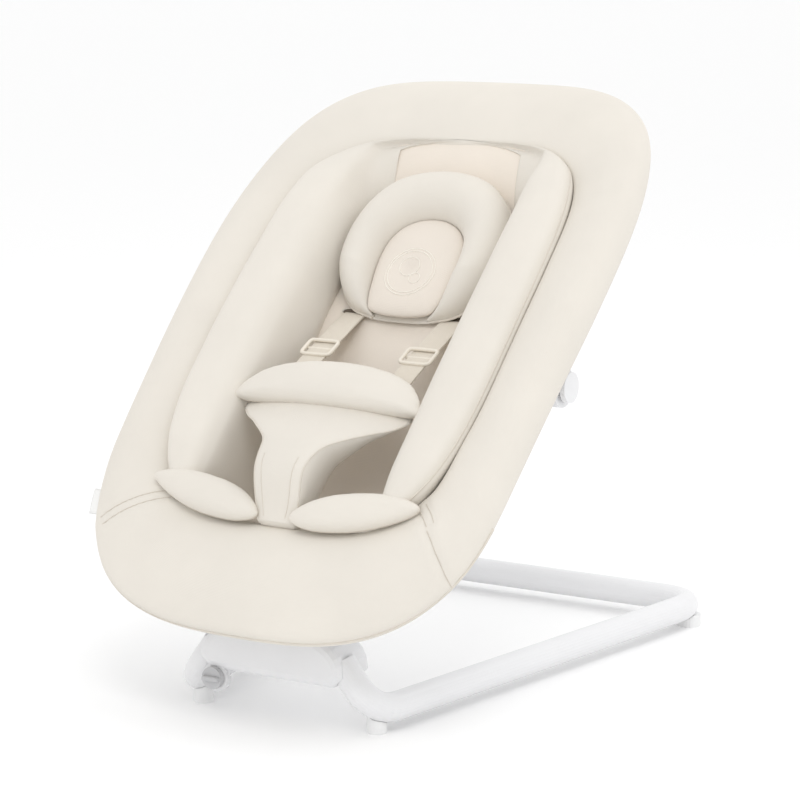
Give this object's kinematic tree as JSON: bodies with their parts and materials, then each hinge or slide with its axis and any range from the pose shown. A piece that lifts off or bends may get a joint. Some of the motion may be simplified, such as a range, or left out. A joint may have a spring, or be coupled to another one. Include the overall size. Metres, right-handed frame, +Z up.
{
  "type": "bouncer seat",
  "caption": "Reclined baby bouncer: padded oval seat with bolsters, headrest, harness and belly pad, carried by a sprung yoke on a white bent-tube floor loop.",
  "frame": {"origin": "on the floor, under the middle of the whole object's bounding box", "axes": "+Z up, -Y towards the foot end, +X to the right of someone facing the seat from the foot end"},
  "size_m": [0.4602, 0.6383, 0.588],
  "materials": {
    "paint": "smooth white powder coat",
    "white_plastic": "fine satin moulded white",
    "grey_plastic": "fine matt grey",
    "ivory_plastic": "satin ivory",
    "rubber": "matt soft plastic, pale grey",
    "steel": "plain zinc-plated steel",
    "cream_fabric": "fine matt woven cotton blend, cream",
    "webbing": "woven cream webbing",
    "tag": "plain white woven tag"
  },
  "bodies": {
    "base": {"base_tube": "paint", "foot_front_right": "rubber", "foot_front_left": "rubber", "foot_rear_right": "rubber", "foot_rear_left": "rubber", "hub_cover": "white_plastic", "hub_tray": "white_plastic", "tray_screw_1": "steel", "tray_screw_2": "steel", "hub_chassis": "steel", "bounce_axle": "steel", "bounce_spring_right": "steel", "bounce_spring_left": "steel"},
    "rocker": {"yoke_tube": "paint", "rocker_block": "white_plastic", "recline_boss_right": "white_plastic", "recline_boss_left": "white_plastic", "recline_pin_right": "steel", "recline_pin_left": "steel"},
    "lock": {"lock_knob": "grey_plastic"},
    "button_right": {"recline_button_right": "white_plastic"},
    "button_left": {"recline_button_left": "white_plastic"},
    "headrest": {"headrest_pillow": "cream_fabric"},
    "slider_right": {"strap_slider_right": "ivory_plastic"},
    "slider_left": {"strap_slider_left": "ivory_plastic"},
    "release": {"buckle_button": "grey_plastic"},
    "seat": {"ring_frame": "white_plastic", "seat_bracket_right": "white_plastic", "seat_bracket_left": "white_plastic", "seat_shell": "white_plastic", "rim_cover": "cream_fabric", "foot_panel": "cream_fabric", "inlay_pad": "cream_fabric", "side_bolster_right": "cream_fabric", "side_bolster_left": "cream_fabric", "shoulder_strap_right": "webbing", "shoulder_strap_left": "webbing", "harness_buckle": "ivory_plastic", "buckle_tongue_right": "ivory_plastic", "buckle_tongue_left": "ivory_plastic", "belly_pad": "cream_fabric", "crotch_pad": "cream_fabric", "thigh_cushion_right": "cream_fabric", "thigh_cushion_left": "cream_fabric", "rim_tag": "tag"}
  },
  "joints": [
    {"name": "bounce", "type": "hinge", "parent": "base", "child": "rocker", "pos_m": [0, -0.225, 0.072], "axis": [1, 0, 0], "range_deg": [-7, 3], "stiffness_Nm_per_rad": 90, "springref_deg": 3.44},
    {"name": "recline", "type": "hinge", "parent": "rocker", "child": "seat", "pos_m": [0, -0.05174, 0.31303], "axis": [1, 0, 0], "range_deg": [-16, 0]},
    {"name": "lock_turn", "type": "hinge", "parent": "base", "child": "lock", "pos_m": [-0.062, -0.254, 0.038], "axis": [0, -1, 0], "range_deg": [0, 90]},
    {"name": "recline_press_right", "type": "slide", "parent": "rocker", "child": "button_right", "axis": [-1, 0, 0], "range_m": [0, 0.003], "stiffness_N_per_m": 400},
    {"name": "recline_press_left", "type": "slide", "parent": "rocker", "child": "button_left", "axis": [1, 0, 0], "range_m": [0, 0.003], "stiffness_N_per_m": 400},
    {"name": "headrest_height", "type": "slide", "parent": "seat", "child": "headrest", "axis": [0, 0.7507, 0.6606], "range_m": [0, 0.012]},
    {"name": "strap_adjust_right", "type": "slide", "parent": "seat", "child": "slider_right", "axis": [0, 0.947, 0.3212], "range_m": [-0.012, 0.025]},
    {"name": "strap_adjust_left", "type": "slide", "parent": "seat", "child": "slider_left", "axis": [0, 0.947, 0.3212], "range_m": [-0.012, 0.025]},
    {"name": "buckle_release", "type": "slide", "parent": "seat", "child": "release", "axis": [0, 0.7051, 0.7091], "range_m": [0, 0.003], "stiffness_N_per_m": 400}
  ]
}
